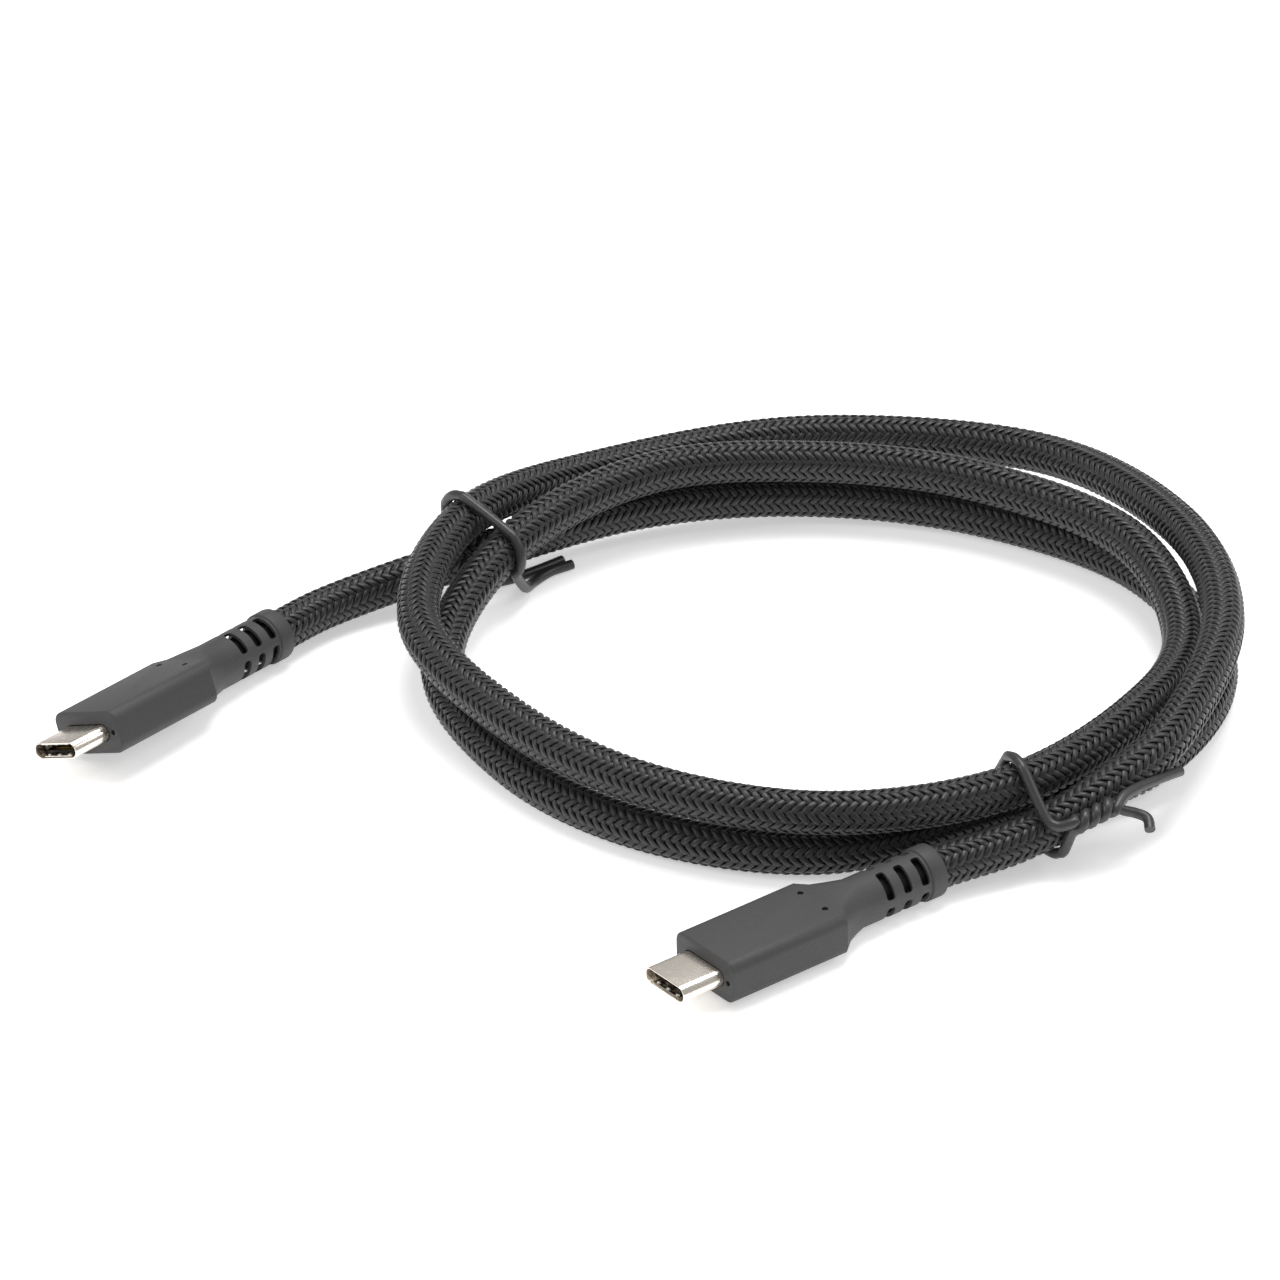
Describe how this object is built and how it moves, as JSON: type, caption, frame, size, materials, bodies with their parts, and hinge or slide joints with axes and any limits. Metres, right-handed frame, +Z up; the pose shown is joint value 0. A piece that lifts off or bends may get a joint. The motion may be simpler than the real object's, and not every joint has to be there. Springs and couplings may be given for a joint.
{
  "type": "charging cable",
  "caption": "Braided charging cable with a reversible plug at each end, lying in a loose coil held by twist ties.",
  "frame": {"origin": "under the middle of the whole cable, on the surface it lies on", "axes": "+Z up, the coil lies flat in XY, both plugs point towards -X and -Y"},
  "size_m": [0.1675, 0.1529, 0.016],
  "materials": {
    "nickel_plate": "bright nickel plate",
    "moulding": "fine matt texture",
    "insulator_plastic": "matt",
    "gold_plate": "gold plate",
    "spring_steel": "bright",
    "card_green": "solder mask",
    "chip_black": "matt",
    "tinned_steel": "tinned",
    "braid_nylon": "braided nylon",
    "jacket_rubber": "matt",
    "core_wrap": "foil wrap",
    "tie_plastic": "soft sheen",
    "tie_steel": "plain",
    "wire_red": "smooth",
    "wire_black": "smooth",
    "wire_white": "smooth",
    "wire_blue": "smooth"
  },
  "bodies": {
    "cable": {"braided_sleeve": "braid_nylon", "cable_jacket": "jacket_rubber", "cable_core": "core_wrap", "upper_tie_coating": "tie_plastic", "upper_tie_wire": "tie_steel", "lower_tie_coating": "tie_plastic", "lower_tie_wire": "tie_steel", "plug_a_shell": "nickel_plate", "plug_a_insulator": "insulator_plastic", "plug_a_upper_contacts": "gold_plate", "plug_a_lower_contacts": "gold_plate", "plug_a_upper_ground_spring": "spring_steel", "plug_a_lower_ground_spring": "spring_steel", "plug_a_latch_plate": "spring_steel", "plug_a_circuit_card": "card_green", "plug_a_marker_chip": "chip_black", "plug_a_upper_shield": "tinned_steel", "plug_a_lower_shield": "tinned_steel", "plug_a_crimp_ferrule": "tinned_steel", "plug_a_power_wire": "wire_red", "plug_a_ground_wire": "wire_black", "plug_a_data_wire": "wire_white", "plug_a_signal_wire": "wire_blue", "plug_a_overmould": "moulding", "plug_b_shell": "nickel_plate", "plug_b_insulator": "insulator_plastic", "plug_b_upper_contacts": "gold_plate", "plug_b_lower_contacts": "gold_plate", "plug_b_upper_ground_spring": "spring_steel", "plug_b_lower_ground_spring": "spring_steel", "plug_b_latch_plate": "spring_steel", "plug_b_circuit_card": "card_green", "plug_b_marker_chip": "chip_black", "plug_b_upper_shield": "tinned_steel", "plug_b_lower_shield": "tinned_steel", "plug_b_crimp_ferrule": "tinned_steel", "plug_b_power_wire": "wire_red", "plug_b_ground_wire": "wire_black", "plug_b_data_wire": "wire_white", "plug_b_signal_wire": "wire_blue", "plug_b_overmould": "moulding"},
    "plug_a_left_latch": {"plug_a_left_latch_arm": "spring_steel"},
    "plug_a_right_latch": {"plug_a_right_latch_arm": "spring_steel"},
    "plug_b_left_latch": {"plug_b_left_latch_arm": "spring_steel"},
    "plug_b_right_latch": {"plug_b_right_latch_arm": "spring_steel"}
  },
  "joints": [
    {"name": "plug_a_left_latch_spring", "type": "hinge", "parent": "cable", "child": "plug_a_left_latch", "pos_m": [-0.07754, -0.00994, 0.00451], "axis": [0.2606, -0.2735, -0.9259], "range_deg": [0, 1.5], "stiffness_Nm_per_rad": 0.0001},
    {"name": "plug_a_right_latch_spring", "type": "hinge", "parent": "cable", "child": "plug_a_right_latch", "pos_m": [-0.07258, -0.01378, 0.00704], "axis": [-0.2606, 0.2735, 0.9259], "range_deg": [0, 1.5], "stiffness_Nm_per_rad": 0.0001},
    {"name": "plug_b_left_latch_spring", "type": "hinge", "parent": "cable", "child": "plug_b_left_latch", "pos_m": [0.00763, -0.06494, 0.00378], "axis": [0.0215, -0.0275, -0.9994], "range_deg": [0, 1.5], "stiffness_Nm_per_rad": 0.0001},
    {"name": "plug_b_right_latch_spring", "type": "hinge", "parent": "cable", "child": "plug_b_right_latch", "pos_m": [0.01179, -0.07026, 0.00402], "axis": [-0.0215, 0.0275, 0.9994], "range_deg": [0, 1.5], "stiffness_Nm_per_rad": 0.0001}
  ]
}
